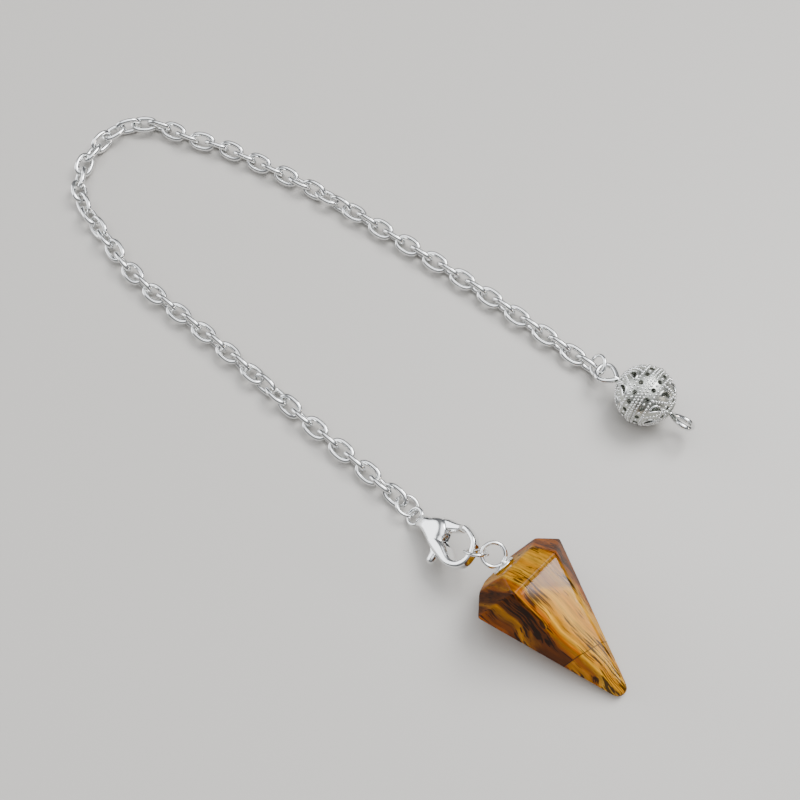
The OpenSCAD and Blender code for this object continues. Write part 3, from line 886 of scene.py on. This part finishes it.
class PENDULUM_OT_pin(bpy.types.Operator):
    """Build the eye pin"""
    bl_idname = "pendulum.pin"
    bl_label = "Eye pin"

    def execute(self, context):
        """A straight wire through the ball, and a teardrop loop at each end: x = c - a cos t,
        y = b sin t sin(t/2), with the drop's point at the ball."""
        s = context.scene.pendulum_metal
        wire = s.pin_wire / MM
        line = np.column_stack([np.linspace(-PIN_HALF, PIN_HALF, 40), np.zeros((40, 2))])
        parts = [round_wire(line, wire)]
        t = np.linspace(LOOP_OPEN, 2 * np.pi - LOOP_OPEN, 90)
        far = s.loop_reach / MM + LOOP_HALF
        drop = np.column_stack([(LOOP_ROOT + far) / 2 - (far - LOOP_ROOT) / 2 * np.cos(t),
                                LOOP_HALF / DROP_PEAK * np.sin(t) * np.sin(t / 2),
                                np.zeros(len(t))])
        loop, faces = round_wire(drop - [LOOP_ROOT, 0, 0], wire)
        for sign, lean, droop in LOOPS:
            turn = turned(lean, droop, 0)
            parts.append((loop * [sign, 1, 1] @ turn.T + [sign * LOOP_ROOT, 0, 0], faces))
        points, faces = joined(parts)
        points = placed(points, turned(0, 0, PIN_HEADING), PIN_AT)
        plated(context, "eye_pin_wire", (points, faces), ["eye_pin"], crease=50)
        return {"FINISHED"}


# Rows of beads on each half of the ball: angle from the pole, count
BEAD_ROWS = ((20, 18), (27, 8), (33.5, 30), (67, 48), (76, 16), (84, 54))
# How deep a bead sits in the shell
BEAD_SINK = 0.04
# Seam: count of beads, how far they stand out, and the height from which they clear the table
SEAM_BEADS, SEAM_OUT, SEAM_LOW = 60, 0.06, -3.7
# Petals: angle from the pole, lean, and half length, half width and curl
PETAL_AT, PETAL_LEAN, PETAL = 50, 25, (0.92, 0.42, 0.2)
# Radius of the wire that frames a petal, and the row of beads between petals: half length, count
PETAL_WIRE_R, GAP_HALF, GAP_BEADS = 0.12, 1.05, 6


def on_ball(polar, around, r):
    """Points at an angle from the pole and an angle round it, with the pole along +X."""
    p, a = np.broadcast_arrays(np.radians(polar), np.radians(around))
    return r * np.stack([np.cos(p), np.sin(p) * np.sin(a), -np.sin(p) * np.cos(a)], -1)


def grains(places, r):
    """One small faceted bead at each place."""
    t = np.radians([-66, -33, 0, 33, 66])
    a = np.radians(np.arange(0, 360, 45))
    bead = np.stack([np.cos(t)[:, None] * np.cos(a), np.cos(t)[:, None] * np.sin(a),
                     np.broadcast_to(np.sin(t)[:, None], (len(t), len(a)))], -1)
    points, faces = strip(bead)
    return joined([(points * r + p, faces) for p in places])


class PENDULUM_OT_ball(bpy.types.Operator):
    """Finish the pierced ball"""
    bl_idname = "pendulum.ball"
    bl_label = "Ball"

    def execute(self, context):
        """The pierced shell keeps its solid. Rows of grains run round it, and a wire frames each
        petal opening: a curled ellipse about the opening, pressed onto the sphere."""
        s = context.scene.pendulum_ball
        r = s.shell_r / MM
        c, d = math.cos(math.radians(PETAL_LEAN)), math.sin(math.radians(PETAL_LEAN))

        def beside(x, y):
            """Angles on the ball of points x along a petal and y across it, with its lean."""
            x, y = x * c - y * d, x * d + y * c
            polar = PETAL_AT + np.degrees(x / r)
            return polar, np.degrees(y / (r * np.sin(np.radians(polar))))

        t = np.linspace(0, 2 * np.pi, 24, endpoint=False)
        long, wide, curl = PETAL
        rim = beside(long * np.cos(t), wide * np.sin(t) + curl * np.cos(2 * t))
        gap = beside(np.linspace(-GAP_HALF, GAP_HALF, GAP_BEADS), np.zeros(GAP_BEADS))
        step = 360 / s.petals
        sunk = r - BEAD_SINK
        parts, places = [], []
        for flip in ([1, 1, 1], [-1, 1, 1]):
            for polar, count in BEAD_ROWS:
                places.append(on_ball(polar, np.arange(count) * 360 / count, sunk) * flip)
            for k in range(s.petals):
                places.append(on_ball(gap[0], gap[1] + (k + 0.5) * step, sunk) * flip)
                path = on_ball(rim[0], rim[1] + k * step, r) * flip
                parts.append(tube(path, path / r, PETAL_WIRE_R, PETAL_WIRE_R, True, sides=8))
        # The seam's own row, left out where the ball rests on the table
        seam = on_ball(90, np.arange(SEAM_BEADS) * 360 / SEAM_BEADS, r + SEAM_OUT)
        places.append(seam[seam[:, 2] > SEAM_LOW])
        parts.append(grains(np.vstack(places), s.grain_r / MM))
        points, faces = joined(parts)
        points = placed(points, turned(0, 0, PIN_HEADING), BALL_AT)
        plated(context, "ball_grains", (points, faces))
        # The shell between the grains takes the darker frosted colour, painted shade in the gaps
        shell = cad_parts["filigree_ball"]
        shell.data.materials.clear()
        shell.data.materials.append(metal(context, "frosted"))
        return {"FINISHED"}


# The stage

def level_axis(way):
    """A level unit vector across a direction."""
    x = np.cross([0, 0, 1], way)
    return x / np.linalg.norm(x)


def facing(to, roll=0.0):
    """Angles of a light that shines along a direction, rolled about it. Its X axis stays level
    before the roll."""
    z = -np.array(to, float) / np.linalg.norm(to)
    x = level_axis(z)
    y = np.cross(z, x)
    c, t = math.cos(math.radians(roll)), math.sin(math.radians(roll))
    return angles(np.column_stack([c * x + t * y, c * y - t * x, z]))


# The sheet of light that the stone's top facet mirrors to the camera: a point on the facet, the
# way out from it and the sheet's distance
FACET_AT = (23.5, -33.7, 9.0)
SHEET_WAY = (0.848, -0.299, 0.437)
SHEET_FAR = 520


def on_sheet(x_mm, y_mm, share=1.0):
    """Place on the sheet that the stone's top facet mirrors to the camera: x level, y up. A share
    below 1 is the place nearer by that much that looks the same from the facet."""
    to = np.array(SHEET_WAY) / np.linalg.norm(SHEET_WAY)
    x = level_axis(to)
    out = share * (SHEET_FAR * to + x_mm * x + y_mm * np.cross(to, x))
    return tuple((np.array(FACET_AT) + out) * MM)


# Lights: name, place, angles, size in metres, power in watts, colour
BACK = tuple(-v for v in SHEET_WAY)
LIGHTS = (("key", (0.26, 0.2, 0.5), facing((-0.26, -0.22, -0.5)), (0.3, 0.3), 3.0, "#ffffff"),
          ("wide slip", on_sheet(15.8, -16.9), facing(BACK, -16), (0.05, 0.084), 0.24, "#fff0d8"),
          ("short slip", on_sheet(19.3, 11.9, 0.97), facing(BACK, -59), (0.044, 0.026), 0.098,
           "#eeeaff"))
# Soft boxes of the room light: direction, inner and outer angle, strength
SOFT_BOXES = (((0.05, 0.1, 1.0), 20, 44, 2.9), ((-0.892, 0.326, 0.315), 14, 27, 3.8))
# Room light: its share at the horizon, and the upward share of a way at which it is full
HORIZON_SHARE, FULL_AT = 0.2, 0.7
# Corners of the table top, in metres
FLOOR = 1.5 * np.array([[-1, -1, 0], [1, -1, 0], [1, 1, 0], [-1, 1, 0]])


def room_light(s):
    """World with an even light that falls off to the horizon, and the soft boxes."""
    world = bpy.data.worlds.new("Studio room light")
    world.use_nodes = True
    tree = world.node_tree
    way = node(tree, "ShaderNodeTexCoord").outputs["Generated"]
    height = node(tree, "ShaderNodeSeparateXYZ", {"Vector": way}).outputs["Z"]
    glow = ranged(tree, height, 0.0, FULL_AT, HORIZON_SHARE * s.sky, s.sky)
    for to, inner, outer, strength in SOFT_BOXES:
        near = vectors(tree, "DOT_PRODUCT", way, tuple(np.array(to) / np.linalg.norm(to)))
        box = ranged(tree, near, math.cos(math.radians(outer)), math.cos(math.radians(inner)),
                     0.0, strength, interpolation_type="SMOOTHSTEP")
        glow = maths(tree, "ADD", glow, box)
    background = tree.nodes["Background"]
    background.inputs["Color"].default_value = linear(s.sky_tint)
    tree.links.new(glow, background.inputs["Strength"])
    return world


class PENDULUM_OT_stage(bpy.types.Operator):
    """Lay the floor, the lights and the camera"""
    bl_idname = "pendulum.stage"
    bl_label = "Stage"

    def execute(self, context):
        """Table top, key light, two slips for the stone's gloss, room light and camera."""
        s = context.scene.pendulum_stage
        floor = shape("floor", (FLOOR, [np.array([[0, 1, 2, 3]])]))
        m, tree = new_material("Pale laminate table top")
        surface(tree, {"Base Color": linear(s.floor), "Roughness": 0.42})
        floor.data.materials.append(m)
        # The two slips give the top facet's gloss the look of a pale sheet with a clear edge.
        # Radiance = power / (pi * width * height).
        for name, place, turn, size, power, tint in LIGHTS:
            light = bpy.data.lights.new(name, "AREA")
            light.shape = "RECTANGLE"
            light.size, light.size_y = size
            light.energy = power
            light.color = linear(tint)[:3]
            obj = bpy.data.objects.new(name, light)
            context.scene.collection.objects.link(obj)
            obj.location = place
            obj.rotation_euler = turn
        context.scene.world = room_light(s)
        data = bpy.data.cameras.new("camera")
        data.lens, data.sensor_width = s.lens, 36
        data.clip_start, data.clip_end = 0.01, 10
        camera = bpy.data.objects.new("camera", data)
        context.scene.collection.objects.link(camera)
        camera.location = s.eye
        camera.rotation_euler = (math.pi / 2 - s.elevation, 0, 0)
        context.scene.camera = camera
        return {"FINISHED"}


class PENDULUM_PT_panel(bpy.types.Panel):
    """Lists the build steps"""
    bl_label = "Pendulum"
    bl_space_type = "VIEW_3D"
    bl_region_type = "UI"
    bl_category = "Pendulum"

    def draw(self, context):
        """One button for each step."""
        for step in STEPS:
            self.layout.operator(step.bl_idname)


STEPS = (PENDULUM_OT_stage, PENDULUM_OT_stone, PENDULUM_OT_bail, PENDULUM_OT_rings,
         PENDULUM_OT_clasp, PENDULUM_OT_chain, PENDULUM_OT_pin, PENDULUM_OT_ball)
SETTINGS = {"pendulum_stone": PendulumStoneSettings, "pendulum_metal": PendulumMetalSettings,
            "pendulum_clasp": PendulumClaspSettings, "pendulum_ball": PendulumBallSettings,
            "pendulum_stage": PendulumStageSettings}


def register():
    """Registers the settings, the steps and the panel."""
    for cls in (*SETTINGS.values(), *STEPS, PENDULUM_PT_panel):
        bpy.utils.register_class(cls)
    for name, cls in SETTINGS.items():
        setattr(bpy.types.Scene, name, PointerProperty(type=cls))


def unregister():
    """Takes the settings, the steps and the panel away again."""
    for name in SETTINGS:
        delattr(bpy.types.Scene, name)
    for cls in (PENDULUM_PT_panel, *reversed(STEPS), *reversed(SETTINGS.values())):
        bpy.utils.unregister_class(cls)


def main():
    """Builds everything step by step."""
    register()
    for step in STEPS:
        group, call = step.bl_idname.split(".")
        getattr(getattr(bpy.ops, group), call)()


if __name__ == "__main__":
    main()
